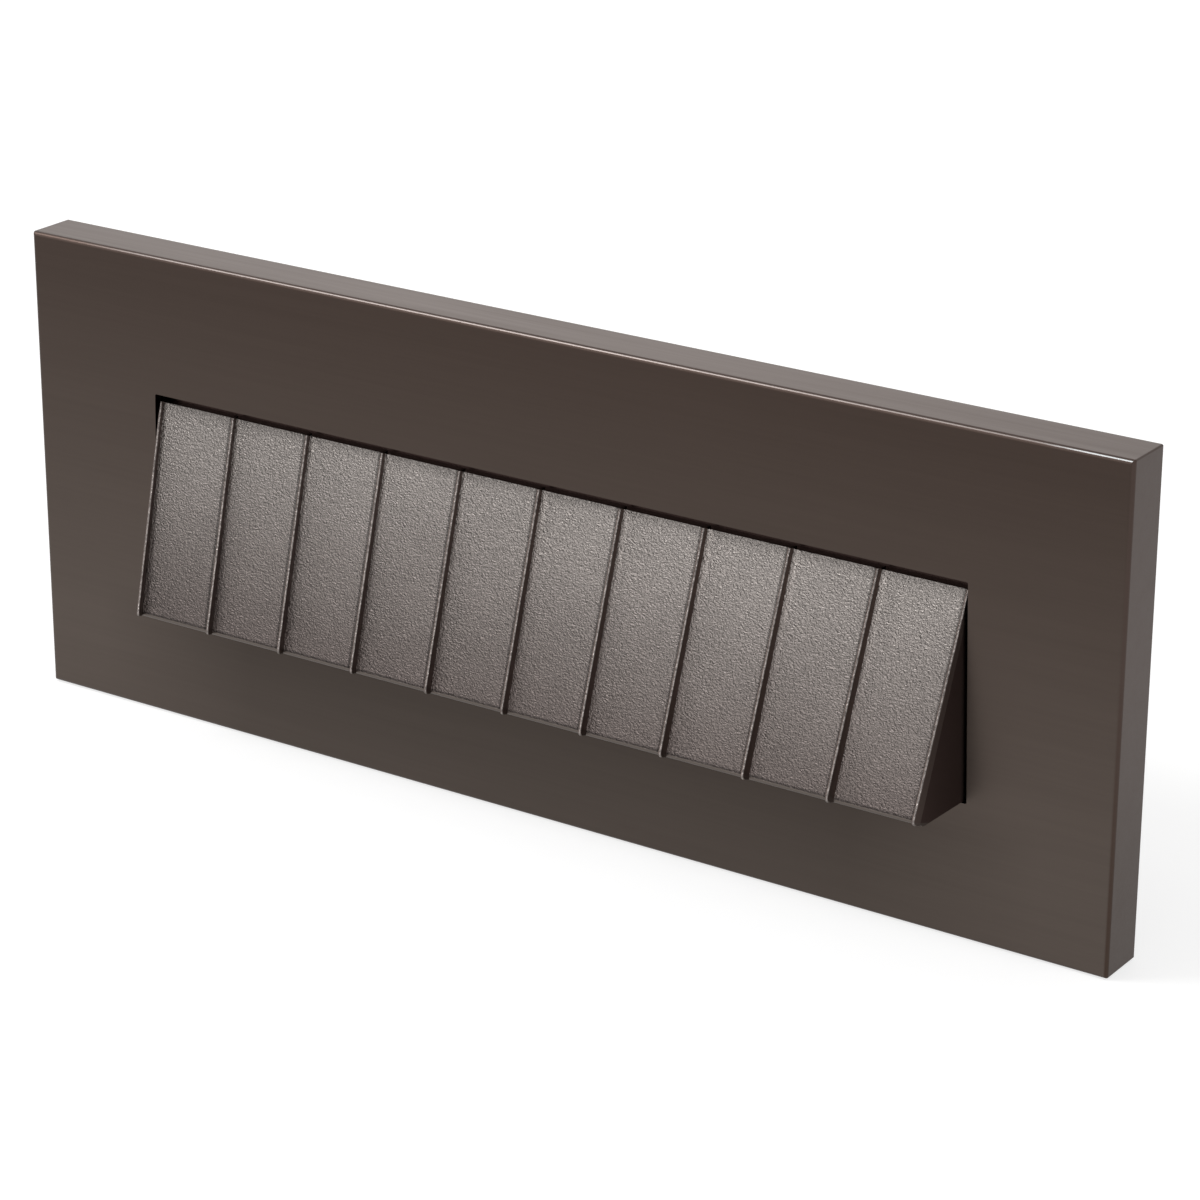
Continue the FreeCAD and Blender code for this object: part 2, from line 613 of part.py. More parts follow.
def make_plug_seal():
    z = -(BOX_H / 2 + HUB_LENGTH) - PLUG_SEAL_T
    place = V(SPARE_HUB_X, HUB_Y, z)
    up = V(0, 0, 1)
    outer = Part.makeCylinder(PLUG_HEAD_R - 0.3, PLUG_SEAL_T, place, up)
    return outer.cut(Part.makeCylinder(HUB_BORE_R, PLUG_SEAL_T, place, up))


# --- bracket

def corners(x, z):
    return [(sx * x, sz * z) for sx in (-1, 1) for sz in (-1, 1)]


def driver_screw_places():
    """X of the driver's two screws."""
    reach = DRIVER_W / 2 + DRIVER_EAR_L - DRIVER_HOLE_INSET
    return [DRIVER_X - reach, DRIVER_X + reach]


def make_mounting_bracket():
    body = plate(BRACKET_W, BRACKET_H, BRACKET_CORNER_R, BRACKET_Y, BRACKET_BACK_Y)
    notch_w = BRACKET_W / 2 - BRACKET_NOTCH_X
    for side in (-1, 1):
        x = side * (BRACKET_NOTCH_X + notch_w / 2 + 0.5)
        body = body.cut(block(notch_w + 1, 2 * BRACKET_NOTCH_Z, BRACKET_Y - 1, BRACKET_BACK_Y + 1, x))
    holes = [(x, z, M35_CLEAR_R) for x, z in corners(POST_X, POST_Z)]
    holes += [(x, z, M3_CLEAR_R) for x, z in corners(TRAY_SCREW_X, TRAY_SCREW_Z)]
    holes += [(x, 0.0, M3_TAP_R) for x in driver_screw_places()]
    holes.append((OUTPUT_X, 0.0, GROMMET_R))
    for x, z, r in holes:
        body = body.cut(rod(r, BRACKET_Y - 1, BRACKET_BACK_Y + 1, x, z))
    return body


def make_bracket_screws():
    return group([screw(x, z, BRACKET_Y, M35_TAP_R, BRACKET_SCREW_L, M35_HEAD_R, M35_HEAD_H, 1)
                  for x, z in corners(POST_X, POST_Z)])


# --- light module

def frame_screw_places():
    x = (TRAY_W - TRAY_RIM) / 2
    z = (TRAY_H - TRAY_RIM) / 2
    return corners(x, z) + corners(FRAME_MID_X, z)


def make_led_tray():
    body = plate(TRAY_W, TRAY_H, TRAY_CORNER_R, TRAY_FRONT_Y, BRACKET_Y)
    body = body.cut(plate(SEAT_W, SEAT_H, TRAY_CORNER_R, TRAY_FRONT_Y - 1, LEDGE_Y))
    body = body.cut(plate(CAVITY_W, CAVITY_H, TRAY_CORNER_R, LEDGE_Y - 1, TRAY_FLOOR_Y))
    for x, z in frame_screw_places():
        body = body.cut(rod(M25_TAP_R, TRAY_FRONT_Y, TRAY_FRONT_Y + FRAME_SCREW_L, x, z))
    for x, z in corners(TRAY_SCREW_X, TRAY_SCREW_Z):
        body = body.cut(rod(M3_TAP_R, BRACKET_Y - TRAY_SCREW_DEPTH, BRACKET_Y, x, z))
    for x, z in corners(BOARD_SCREW_X, BOARD_SCREW_Z):
        body = body.cut(rod(M3_TAP_R, TRAY_FLOOR_Y, TRAY_FLOOR_Y + BOARD_SCREW_DEPTH, x, z))
    return body.cut(rod(GROMMET_R, TRAY_FLOOR_Y - 1, BRACKET_Y + 1, OUTPUT_X, 0))


def make_tray_screws():
    length = BRACKET_T + TRAY_SCREW_DEPTH - 0.2
    return group([screw(x, z, BRACKET_BACK_Y, M3_TAP_R, length, M3_HEAD_R, M3_HEAD_H, -1)
                  for x, z in corners(TRAY_SCREW_X, TRAY_SCREW_Z)])


def make_thermal_pad():
    pad = block(BOARD_W, BOARD_H, PAD_Y, TRAY_FLOOR_Y)
    for x, z in corners(BOARD_SCREW_X, BOARD_SCREW_Z):
        pad = pad.cut(rod(M3_CLEAR_R, PAD_Y - 1, TRAY_FLOOR_Y + 1, x, z))
    return pad


def make_led_board():
    board = block(BOARD_W, BOARD_H, BOARD_Y, PAD_Y)
    for x, z in corners(BOARD_SCREW_X, BOARD_SCREW_Z):
        board = board.cut(rod(M3_CLEAR_R, BOARD_Y - 1, PAD_Y + 1, x, z))
    return board


def make_board_screws():
    length = TRAY_FLOOR_Y + BOARD_SCREW_DEPTH - BOARD_Y - 0.2
    return group([screw(x, z, BOARD_Y, M3_TAP_R, length, M3_HEAD_R, M3_HEAD_H, 1)
                  for x, z in corners(BOARD_SCREW_X, BOARD_SCREW_Z)])


def emitter_places():
    return [(i - (EMITTER_COUNT - 1) / 2) * EMITTER_PITCH for i in range(EMITTER_COUNT)]


def make_led_emitters():
    front = BOARD_Y - EMITTER_T
    emitters = []
    for x in emitter_places():
        base = block(EMITTER_SIZE, EMITTER_SIZE, front, BOARD_Y, x)
        dome = Part.makeSphere(EMITTER_DOME_R, V(x, front, 0), FORWARD, 0, 90, 360)
        emitters.append(base.fuse(dome).removeSplitter())
    return group(emitters)


def make_board_terminal():
    x = BOARD_W / 2 - TERMINAL_INSET - TERMINAL_L / 2
    front = BOARD_Y - TERMINAL_H
    body = block(TERMINAL_L, TERMINAL_W, front, BOARD_Y, x)
    for z in (-OUTPUT_PITCH / 2, OUTPUT_PITCH / 2):
        entry = V(x + TERMINAL_L / 2, BOARD_Y - TERMINAL_H / 2, z)
        body = body.cut(Part.makeCylinder(LEAD_R + LEAD_GAP, TERMINAL_L * 0.6, entry, V(-1, 0, 0)))
    return body


def make_reflector():
    back = BOARD_Y
    front = LEDGE_Y + REFLECTOR_MOUTH_GAP
    mouth_w = CAVITY_W - 2 * REFLECTOR_MOUTH_GAP
    mouth_h = CAVITY_H - 2 * REFLECTOR_MOUTH_GAP
    t = REFLECTOR_T

    def rectangle(w, h, y):
        return Part.makePolygon([V(-w / 2, y, -h / 2), V(w / 2, y, -h / 2), V(w / 2, y, h / 2),
                                 V(-w / 2, y, h / 2), V(-w / 2, y, -h / 2)])

    outer = Part.makeLoft([rectangle(mouth_w, mouth_h, front),
                           rectangle(REFLECTOR_FLOOR_W, REFLECTOR_FLOOR_H, back)], True, True)
    inner = Part.makeLoft([rectangle(mouth_w - 2 * t, mouth_h - 2 * t, front - 0.01),
                           rectangle(REFLECTOR_FLOOR_W - 2 * t, REFLECTOR_FLOOR_H - 2 * t, back - t)],
                          True, True)
    body = outer.cut(inner)
    for x in emitter_places():
        body = body.cut(rod(EMITTER_HOLE_R, back - 2 * t, back + 1, x, 0))
    for x, z in corners(BOARD_SCREW_X, BOARD_SCREW_Z):
        body = body.cut(rod(M3_HEAD_R + REFLECTOR_GAP, front, back + 1, x, z))
    notch_x = BOARD_W / 2 - TERMINAL_INSET - TERMINAL_L - REFLECTOR_GAP
    notch = block(mouth_w / 2 - notch_x + 1, TERMINAL_W + 2 * REFLECTOR_GAP,
                  BOARD_Y - TERMINAL_H - REFLECTOR_GAP, back + 1,
                  (notch_x + mouth_w / 2 + 1) / 2)
    return body.cut(notch).common(plate(mouth_w, mouth_h, TRAY_CORNER_R, front - 1, back + 1))


def make_lens_gasket():
    ring = plate(SEAT_W, SEAT_H, TRAY_CORNER_R, LENS_BACK_Y, LEDGE_Y)
    return ring.cut(plate(CAVITY_W, CAVITY_H, TRAY_CORNER_R, LENS_BACK_Y - 1, LEDGE_Y + 1))


def make_lens():
    gap = 2 * LENS_GAP
    return plate(SEAT_W - gap, SEAT_H - gap, TRAY_CORNER_R - LENS_GAP, TRAY_FRONT_Y, LENS_BACK_Y)


def make_lens_frame():
    lip = 2 * FRAME_LIP
    body = plate(TRAY_W, TRAY_H, TRAY_CORNER_R, TRAY_FRONT_Y - FRAME_T, TRAY_FRONT_Y)
    body = body.cut(plate(SEAT_W - lip, SEAT_H - lip, TRAY_CORNER_R, TRAY_FRONT_Y - FRAME_T - 1,
                          TRAY_FRONT_Y + 1))
    for x, z in frame_screw_places():
        body = body.cut(rod(M25_CLEAR_R, TRAY_FRONT_Y - FRAME_T - 1, TRAY_FRONT_Y + 1, x, z))
    return body


def make_frame_screws():
    seat = TRAY_FRONT_Y - FRAME_T
    return group([screw(x, z, seat, M25_TAP_R, FRAME_SCREW_L, M25_HEAD_R, M25_HEAD_H, 1)
                  for x, z in frame_screw_places()])


# --- driver

def make_driver_case():
    y0, y1 = BRACKET_BACK_Y, BRACKET_BACK_Y + DRIVER_T
    body = plate(DRIVER_W, DRIVER_H, 2.0, y0, y1, DRIVER_X)
    ear_w = DRIVER_W + 2 * DRIVER_EAR_L
    body = body.fuse(plate(ear_w, DRIVER_EAR_W, 2.0, y0, y0 + DRIVER_EAR_T, DRIVER_X))
    body = body.cut(plate(DRIVER_W - 2 * DRIVER_WALL, DRIVER_H - 2 * DRIVER_WALL, 1.0,
                          y0 + DRIVER_WALL, y1 + 1, DRIVER_X))
    for x in driver_screw_places():
        body = body.cut(rod(M3_CLEAR_R, y0 - 1, y1, x, 0))
    for x, z in lead_exits():
        body = body.cut(Part.makeCylinder(LEAD_R + LEAD_GAP, 4 * DRIVER_WALL,
                                          V(x - 2 * DRIVER_WALL, LEAD_Y, z), V(1, 0, 0)))
    return body.removeSplitter()


def lead_exits():
    """(x, z) where each lead leaves the driver's end walls."""
    supply = [(DRIVER_END_X, z) for z in (INPUT_Z, -INPUT_Z, EARTH_Z)]
    return supply + [(DRIVER_FAR_X, z) for z in (OUTPUT_PITCH / 2, -OUTPUT_PITCH / 2)]


def make_driver_potting():
    y0 = BRACKET_BACK_Y + DRIVER_WALL
    y1 = BRACKET_BACK_Y + DRIVER_T - DRIVER_POT_DROP
    return plate(DRIVER_W - 2 * DRIVER_WALL, DRIVER_H - 2 * DRIVER_WALL, 1.0, y0, y1, DRIVER_X)


def make_driver_screws():
    seat = BRACKET_BACK_Y + DRIVER_EAR_T
    length = DRIVER_EAR_T + BRACKET_T - 0.2
    return group([screw(x, 0.0, seat, M3_TAP_R, length, M3_HEAD_R, M3_HEAD_H, -1)
                  for x in driver_screw_places()])


# --- leads

def make_output_lead(side, name):
    """From the driver, through the grommet, to the board's terminal."""
    z = side * OUTPUT_PITCH / 2
    terminal_x = BOARD_W / 2 - TERMINAL_INSET - TERMINAL_L / 2
    terminal_y = BOARD_Y - TERMINAL_H / 2
    return lead([V(DRIVER_FAR_X - DRIVER_WALL, LEAD_Y, z), V(OUTPUT_X, LEAD_Y, z),
                 V(OUTPUT_X, terminal_y, z), V(terminal_x, terminal_y, z)], name)


def make_lead_grommet():
    y1 = BRACKET_BACK_Y + GROMMET_HEAD_T
    body = rod(GROMMET_R, TRAY_FLOOR_Y, BRACKET_BACK_Y, OUTPUT_X, 0)
    body = body.fuse(rod(GROMMET_HEAD_R, BRACKET_BACK_Y, y1, OUTPUT_X, 0))
    for side in (-1, 1):
        body = body.cut(rod(LEAD_R + LEAD_GAP, TRAY_FLOOR_Y - 1, y1 + 1, OUTPUT_X,
                            side * OUTPUT_PITCH / 2))
    return body.removeSplitter()


def make_input_lead(side, name):
    """From the driver into the open end of its connector."""
    out = DRIVER_END_X - 5.0
    near = CONNECTOR_X + 5.0
    end = CONNECTOR_X - CONNECTOR_BORE_D
    return lead([V(DRIVER_END_X + DRIVER_WALL, LEAD_Y, side * INPUT_Z), V(out, LEAD_Y, side * INPUT_Z),
                 V(near, LEAD_Y, side * CONNECTOR_Z), V(end, LEAD_Y, side * CONNECTOR_Z)], name)


def make_wire_connectors():
    connectors = []
    for side in (-1, 1):
        start = V(CONNECTOR_X, LEAD_Y, side * CONNECTOR_Z)
        left = V(-1, 0, 0)
        skirt = Part.makeCylinder(CONNECTOR_R, CONNECTOR_L * 0.4, start, left)
        cone = Part.makeCone(CONNECTOR_R, CONNECTOR_TIP_R, CONNECTOR_L * 0.6,
                             start + left * (CONNECTOR_L * 0.4), left)
        bore = Part.makeCylinder(LEAD_R + LEAD_GAP, CONNECTOR_BORE_D, start, left)
        connectors.append(skirt.fuse(cone).cut(bore).removeSplitter())
    return group(connectors)


def earth_lug_y():
    """Front face of the ring terminal, which lies on the earth post."""
    return BOX_BACK_Y - EARTH_POST_H - LUG_T


def lug_barrel():
    """Start and end x of the ring terminal's barrel, and the y of its axis."""
    start = EARTH_POST_X + M4_HEAD_R + LUG_NECK_L
    return start, start + LUG_BARREL_L, earth_lug_y() + LUG_T / 2


def make_earth_terminal():
    y = earth_lug_y()
    start, end, axis_y = lug_barrel()
    ring = rod(LUG_R, y, y + LUG_T, EARTH_POST_X, EARTH_POST_Z)
    neck_start = EARTH_POST_X + M4_R + 0.5
    neck = block(start + 1 - neck_start, LUG_NECK_W, y, y + LUG_T,
                 (start + 1 + neck_start) / 2, EARTH_POST_Z)
    barrel = Part.makeCylinder(LUG_BARREL_R, end - start, V(start, axis_y, EARTH_POST_Z), V(1, 0, 0))
    bore = Part.makeCylinder(LEAD_R + LEAD_GAP, LUG_BARREL_L - 1, V(end, axis_y, EARTH_POST_Z),
                             V(-1, 0, 0))
    body = ring.fuse([neck, barrel])
    return body.cut(rod(M4_R, y - 1, y + LUG_T + 1, EARTH_POST_X, EARTH_POST_Z)).cut(bore)


def make_earth_lead():
    start, end, y = lug_barrel()
    out = DRIVER_END_X - 2.5
    return lead([V(DRIVER_END_X + DRIVER_WALL, LEAD_Y, EARTH_Z), V(out, LEAD_Y, EARTH_Z),
                 V(end + 3.5, y, EARTH_POST_Z), V(start + 1, y, EARTH_POST_Z)], "earth_lead")


def make_earth_screw():
    length = EARTH_POST_H - 0.4 + LUG_T
    return screw(EARTH_POST_X, EARTH_POST_Z, earth_lug_y(), M4_TAP_R, length, M4_HEAD_R, M4_HEAD_H, 1)


NODES = {
    "faceplate": make_faceplate,
    "hood": make_hood,
    "hood_gasket": make_hood_gasket,
    "hood_screws": make_hood_screws,
    "spring_clips": lambda: group([make_clip(x, side) for x, side in clip_places()]),
    "clip_screws": make_clip_screws,
    "wall_gasket": make_wall_gasket,
    "back_box": make_back_box,
    "conduit_plug": make_conduit_plug,
    "plug_seal": make_plug_seal,
    "mounting_bracket": make_mounting_bracket,
    "bracket_screws": make_bracket_screws,
    "led_tray": make_led_tray,
    "tray_screws": make_tray_screws,
    "thermal_pad": make_thermal_pad,
    "led_board": make_led_board,
    "board_screws": make_board_screws,
    "led_emitters": make_led_emitters,
    "board_terminal": make_board_terminal,
    "reflector": make_reflector,
    "lens_gasket": make_lens_gasket,
    "lens": make_lens,
    "lens_frame": make_lens_frame,
    "frame_screws": make_frame_screws,
    "driver_case": make_driver_case,
    "driver_potting": make_driver_potting,
    "driver_screws": make_driver_screws,
    "output_lead_positive": lambda: make_output_lead(1, "output_lead_positive"),
    "output_lead_negative": lambda: make_output_lead(-1, "output_lead_negative"),
    "lead_grommet": make_lead_grommet,
    "input_lead_line": lambda: make_input_lead(1, "input_lead_line"),
    "input_lead_neutral": lambda: make_input_lead(-1, "input_lead_neutral"),
    "wire_connectors": make_wire_connectors,
    "earth_terminal": make_earth_terminal,
    "earth_lead": make_earth_lead,
    "earth_screw": make_earth_screw,
}

os.makedirs("parts", exist_ok=True)
for node, make in NODES.items():
    shape = make()
    print(node, "solids", len(shape.Solids), "valid", shape.isValid(), "volume", round(shape.Volume, 1))
    shape.exportStep("parts/" + node + ".step")
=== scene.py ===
import math

import bpy
from mathutils import Matrix, Vector


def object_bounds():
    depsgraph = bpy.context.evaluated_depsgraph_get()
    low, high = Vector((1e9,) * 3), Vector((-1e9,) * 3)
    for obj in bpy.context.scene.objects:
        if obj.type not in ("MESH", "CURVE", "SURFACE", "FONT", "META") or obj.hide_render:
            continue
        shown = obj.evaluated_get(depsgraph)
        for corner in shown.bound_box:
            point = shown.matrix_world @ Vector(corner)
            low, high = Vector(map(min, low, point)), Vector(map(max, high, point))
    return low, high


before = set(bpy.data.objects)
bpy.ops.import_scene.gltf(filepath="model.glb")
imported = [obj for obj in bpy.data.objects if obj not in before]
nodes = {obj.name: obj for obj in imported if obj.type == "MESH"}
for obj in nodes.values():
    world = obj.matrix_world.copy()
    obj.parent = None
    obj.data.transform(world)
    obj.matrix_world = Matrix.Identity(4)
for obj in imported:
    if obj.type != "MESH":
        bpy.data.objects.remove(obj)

MM = 0.001
cad_lo, cad_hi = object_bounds()

# Sizes of the solids that the bronze finish follows. Lengths are in metres.
FACE_TOP = 45.1 * MM
FACE_FRONT = -9.9 * MM
SLOPE_TOP = Vector((0.0, -8.1, 16.65)) * MM        # of the hood's sloping face
SLOPE_BOTTOM = Vector((0.0, -19.3, -22.25)) * MM
WINDOW_TOP = 18.6 * MM
END_RIB_X = 84.8 * MM                              # at the window's top, on the plate's front
RIB_GAPS = 10
END_LEAN = math.tan(math.radians(2.0))
END_DRAFT = math.tan(math.radians(17.4))
LIP_BAND = 1.03 * MM                               # the lip's round starts this far up the slope
SLOPE_PLAY = 0.12 * MM                             # what lies closer than this is on the slope
RIB_SIDE = 0.06 * MM                               # height at which a rib's side starts
RIB_SHOULDER = (0.5 * MM, 0.7 * MM)                # height over which its crest begins
HOOD_SPAN = 85.0 * MM                              # from the middle to the hood's ends
HOOD_FOOT = -22.0 * MM

# The plate's painted light and shade, in x and z.
FRONT_FADE = -30.0 * MM                            # painted shade: the front gets darker from here up
SIDE_FADE = 10.0 * MM                              # painted shade: the edges get darker from here down
SHADE_SIDES = (HOOD_SPAN - 20 * MM, HOOD_SPAN + 16 * MM)   # the shade fades out over these
SHADE_START = HOOD_FOOT + 3 * MM
SHADE_DEEPEST = HOOD_FOOT - 4 * MM                 # the shade under the hood is deepest here
SHADE_LEFT = 0.62                                  # how much light it leaves there
HIGHLIGHT_FADE_IN = (-104.0 * MM, -88.0 * MM)              # the top edge's painted highlight starts over this stretch
HIGHLIGHT_PEAK = (98.0 * MM, 107.0 * MM)               # and grows strongest over this one

# The hood's finish. Each rib has painted shade on its left and painted light on its right.
ROOT_SHADE_WIDTH = (1.1 * MM, 1.55 * MM)                # from its middle, at the slope's top and bottom
ROOT_SHADE_EDGE = 0.2 * MM
ROOT_LIGHT_RANGE = (-1.9 * MM, -0.6 * MM)              # from its middle, from plain to brightest painted light
LIP_EDGE = 0.05 * MM
LIP_SHADE_RANGE = (-0.55 * MM, -0.25 * MM)            # from the lip, where the painted shade line above it sets in
PALER_PANELS = (-80.0 * MM, 60.0 * MM)             # painted light: the panels get paler over this stretch
LUMP_SHIFT = (0.08 * MM, 0.0, 0.09 * MM)           # to the lump that a lump's lit side is told from
LUMP_DEPTH = 0.3 * MM

# Other finishes.
MARK_DEPTH = 0.02 * MM                             # of brush marks and grain
SKIN_DEPTH = 0.1 * MM                              # of cast paint and foam
TRACK_HALF_PITCH = 2.2 * MM                        # of the board's tracks
TRACK_SHIFT = 1.0 * MM
TRACK_EDGE = (1.4 * MM, 1.6 * MM)
TRACK_DEPTH = 0.04 * MM
RIPPLE_DEPTH = 0.2 * MM                            # of the glass

# The floor and the world.
FLOOR_HALF = 3.0
FLOOR_GAP = 0.2 * MM
FLOOR_GREY = (0.34, 0.34, 0.34)
FLOOR_GLOW = 0.72                                  # seen directly, in reflections and through glass
WORLD_LIGHT = 0.6                                  # on matt surfaces; the world itself is white

# The camera, fitted to the photograph: its lens in millimetres, axes and place.
CAMERA_LENS = 118.818
CAMERA_RIGHT = (0.82761785, 0.56128139, 0.00344987)
CAMERA_UP = (-0.20552794, 0.29732316, 0.93239327)
CAMERA_BACK = (0.52230926, -0.77237436, 0.36142896)
CAMERA_PLACE = (0.372355, -0.540297, 0.247893)

# Colours of the bronze; several are painted light and shade.
BRONZE = (0.068, 0.049, 0.042)
# Painted shade: the sides and edges darken towards this at the bottom.
SIDE_BOTTOM = (0.055, 0.038, 0.030)
# Painted highlight along the top front edge.
PAINTED_EDGE_HIGHLIGHT = (0.262, 0.268, 0.270)
# Painted light and shade: the front runs from dark at its top to pale at its bottom.
FRONT_TOP = (0.050, 0.036, 0.030)
FRONT_BOTTOM = (0.088, 0.071, 0.061)
# Painted light: the panels are paler at the top of the slope than at its bottom.
PANEL_TOP = (0.193, 0.176, 0.165)
PANEL_BOTTOM = (0.089, 0.074, 0.069)
HOOD_END = (0.068, 0.046, 0.041)
RIB_FLANK = (0.115, 0.087, 0.077)
# Painted highlight on the rib crests.
RIB_CREST_HIGHLIGHT = (0.260, 0.232, 0.218)
# The lip's bronze, partly painted light: paler for the light its round catches.
LIP = (0.112, 0.094, 0.083)


# --- node tree helpers

class Tree:
    """A new material's nodes, with short calls for the ones used here."""

    def __init__(self, name):
        self.material = bpy.data.materials.new(name)
        self.material.use_nodes = True
        self.tree = self.material.node_tree
        self.bsdf = self.tree.nodes["Principled BSDF"]
        coordinates = self.add("ShaderNodeTexCoord")
        self.place = coordinates.outputs["Object"]
        self.normal = coordinates.outputs["Normal"]

    def add(self, kind, **values):
        node = self.tree.nodes.new(kind)
        for key, value in values.items():
            setattr(node, key, value)
        return node

    def put(self, socket, value):
        """Links an output to the socket, or sets the socket's value."""
        if isinstance(value, bpy.types.NodeSocket):
            self.tree.links.new(value, socket)
        else:
            socket.default_value = value

    def set(self, name, value):
        if name.endswith("Color") and not isinstance(value, bpy.types.NodeSocket):
            value = (*value[:3], 1.0)
        self.put(self.bsdf.inputs[name], value)

    def scaled(self, x, y, z):
        node = self.add("ShaderNodeMapping")
        self.put(node.inputs["Vector"], self.place)
        node.inputs["Scale"].default_value = (x, y, z)
        return node.outputs["Vector"]

    def axes(self):
        """The place's x, y and z."""
        node = self.add("ShaderNodeSeparateXYZ")
        self.put(node.inputs[0], self.place)
        return node.outputs[0], node.outputs[1], node.outputs[2]

    def along(self, vector, way):
        """How far the vector reaches along the way."""
        node = self.add("ShaderNodeVectorMath", operation="DOT_PRODUCT")
        self.put(node.inputs[0], vector)
        node.inputs[1].default_value = way
        return node.outputs["Value"]

    def noise(self, scale, detail=2.0, rough=0.5, at=None, distortion=0.0):
        node = self.add("ShaderNodeTexNoise")
        self.put(node.inputs["Vector"], at or self.place)
        node.inputs["Scale"].default_value = scale
        node.inputs["Detail"].default_value = detail
        node.inputs["Roughness"].default_value = rough
        node.inputs["Distortion"].default_value = distortion
        return node.outputs["Fac"]

    def cells(self, scale, output="Distance"):
        node = self.add("ShaderNodeTexVoronoi", feature="F1")
        self.put(node.inputs["Vector"], self.place)
        node.inputs["Scale"].default_value = scale
        return node.outputs[output]

    def math(self, operation, a, b=0.0, clamp=False):
        node = self.add("ShaderNodeMath", operation=operation, use_clamp=clamp)
        self.put(node.inputs[0], a)
        self.put(node.inputs[1], b)
        return node.outputs[0]

    def remap(self, value, low, high, to_low=0.0, to_high=1.0):
        node = self.add("ShaderNodeMapRange")
        self.put(node.inputs["Value"], value)
        for name, number in (("From Min", low), ("From Max", high),
                             ("To Min", to_low), ("To Max", to_high)):
            self.put(node.inputs[name], number)
        return node.outputs["Result"]

    def mix(self, factor, a, b):
        node = self.add("ShaderNodeMix", data_type="RGBA")
        self.put(node.inputs[0], factor)
        for socket, value in ((node.inputs[6], a), (node.inputs[7], b)):
            if not isinstance(value, bpy.types.NodeSocket):
                value = (*value[:3], 1.0)
            self.put(socket, value)
        return node.outputs[2]

    def tinted(self, colour, factor):
        """The colour times a factor."""
        node = self.add("ShaderNodeVectorMath", operation="SCALE")
        self.put(node.inputs[0], colour)
        self.put(node.inputs["Scale"], factor)
        return node.outputs[0]

    def blend(self, factor, a, b):
        """From a to b, as a plain number."""
        return self.math("ADD", self.math("MULTIPLY", self.math("SUBTRACT", b, a), factor), a)

    def bump(self, height, distance, strength):
        node = self.add("ShaderNodeBump")
        self.put(node.inputs["Strength"], strength)
        node.inputs["Distance"].default_value = distance
        self.put(node.inputs["Height"], height)
        return node.outputs["Normal"]


def shade(colour, factor):
    return tuple(c * factor for c in colour)


def assign(material, *names):
    for name in names:
        for slot in nodes[name].material_slots:
            slot.material = material


# --- the bronze finish that shows

def brushed(t):
    """Streaks along X, from 0 to 1."""
    fine = t.noise(1.0, 3.0, 0.6, t.scaled(24.0, 1500.0, 1500.0))
    broad = t.noise(1.0, 2.0, 0.5, t.scaled(9.0, 260.0, 260.0))
    return t.math("ADD", t.math("MULTIPLY", fine, 0.6), t.math("MULTIPLY", broad, 0.4))


def plate_bronze():
    """Painted shade makes the front darker towards its top and in a soft shade under the hood;
    a painted highlight runs along the top edge, most of all at its right end."""
    t = Tree("bronze_plate")
    streaks = brushed(t)
    cloud = t.noise(14.0, 2.0)
    tone = t.math("ADD", t.math("MULTIPLY", streaks, 0.75), t.math("MULTIPLY", cloud, 0.25))
    x, _, z = t.axes()
    # Painted shade and light: the front darkens towards its top.
    front = t.mix(t.remap(z, FRONT_FADE, FACE_TOP), FRONT_BOTTOM, FRONT_TOP)
    # Painted shade: the sides darken towards the bottom.
    side = t.mix(t.remap(z, -FACE_TOP, SIDE_FADE), SIDE_BOTTOM, BRONZE)
    beside = t.remap(t.math("ABSOLUTE", x), *SHADE_SIDES, 1.0, 0.0)
    below = t.math("MULTIPLY", t.remap(z, SHADE_START, SHADE_DEEPEST),
                   t.remap(z, -FACE_TOP, SHADE_DEEPEST, 0.45, 1.0))
    shaded = t.math("MULTIPLY", beside, below)
    front = t.tinted(front, t.remap(shaded, 0.0, 1.0, 1.0, SHADE_LEFT))
    facing = t.remap(t.along(t.normal, (0.0, -1.0, 0.0)), 0.85, 0.99)
    # Painted highlight on the round of the top front edge, strongest at its right end.
    edge_highlight = t.remap(t.along(t.normal, Vector((0.0, -1.0, 1.0)).normalized()), 0.98, 0.998)
    highlight_strength = t.math("ADD", t.remap(x, *HIGHLIGHT_FADE_IN, 0.0, 0.2), t.remap(x, *HIGHLIGHT_PEAK, 0.0, 0.8))
    edge_highlight = t.math("MULTIPLY", edge_highlight, highlight_strength)
    colour = t.mix(edge_highlight, t.mix(facing, side, front), PAINTED_EDGE_HIGHLIGHT)
    t.set("Base Color", t.tinted(colour, t.remap(tone, 0.3, 0.7, 0.93, 1.07)))
    t.set("Metallic", 1.0)
    t.set("Roughness", t.remap(streaks, 0.3, 0.7, 0.32, 0.40))
    t.set("Normal", t.bump(streaks, MARK_DEPTH, 0.3))
    return t.material


def pebbles(t, shift=(0.0, 0.0, 0.0)):
    """The leathery lumps of the cast panels, from 0 to 1, seen a shift away."""
    node = t.add("ShaderNodeVectorMath", operation="ADD")
    t.put(node.inputs[0], t.scaled(1.0, 1.3, 1.3))
    node.inputs[1].default_value = shift
    return t.noise(2350.0, 2.5, 0.55, node.outputs[0], 0.7)


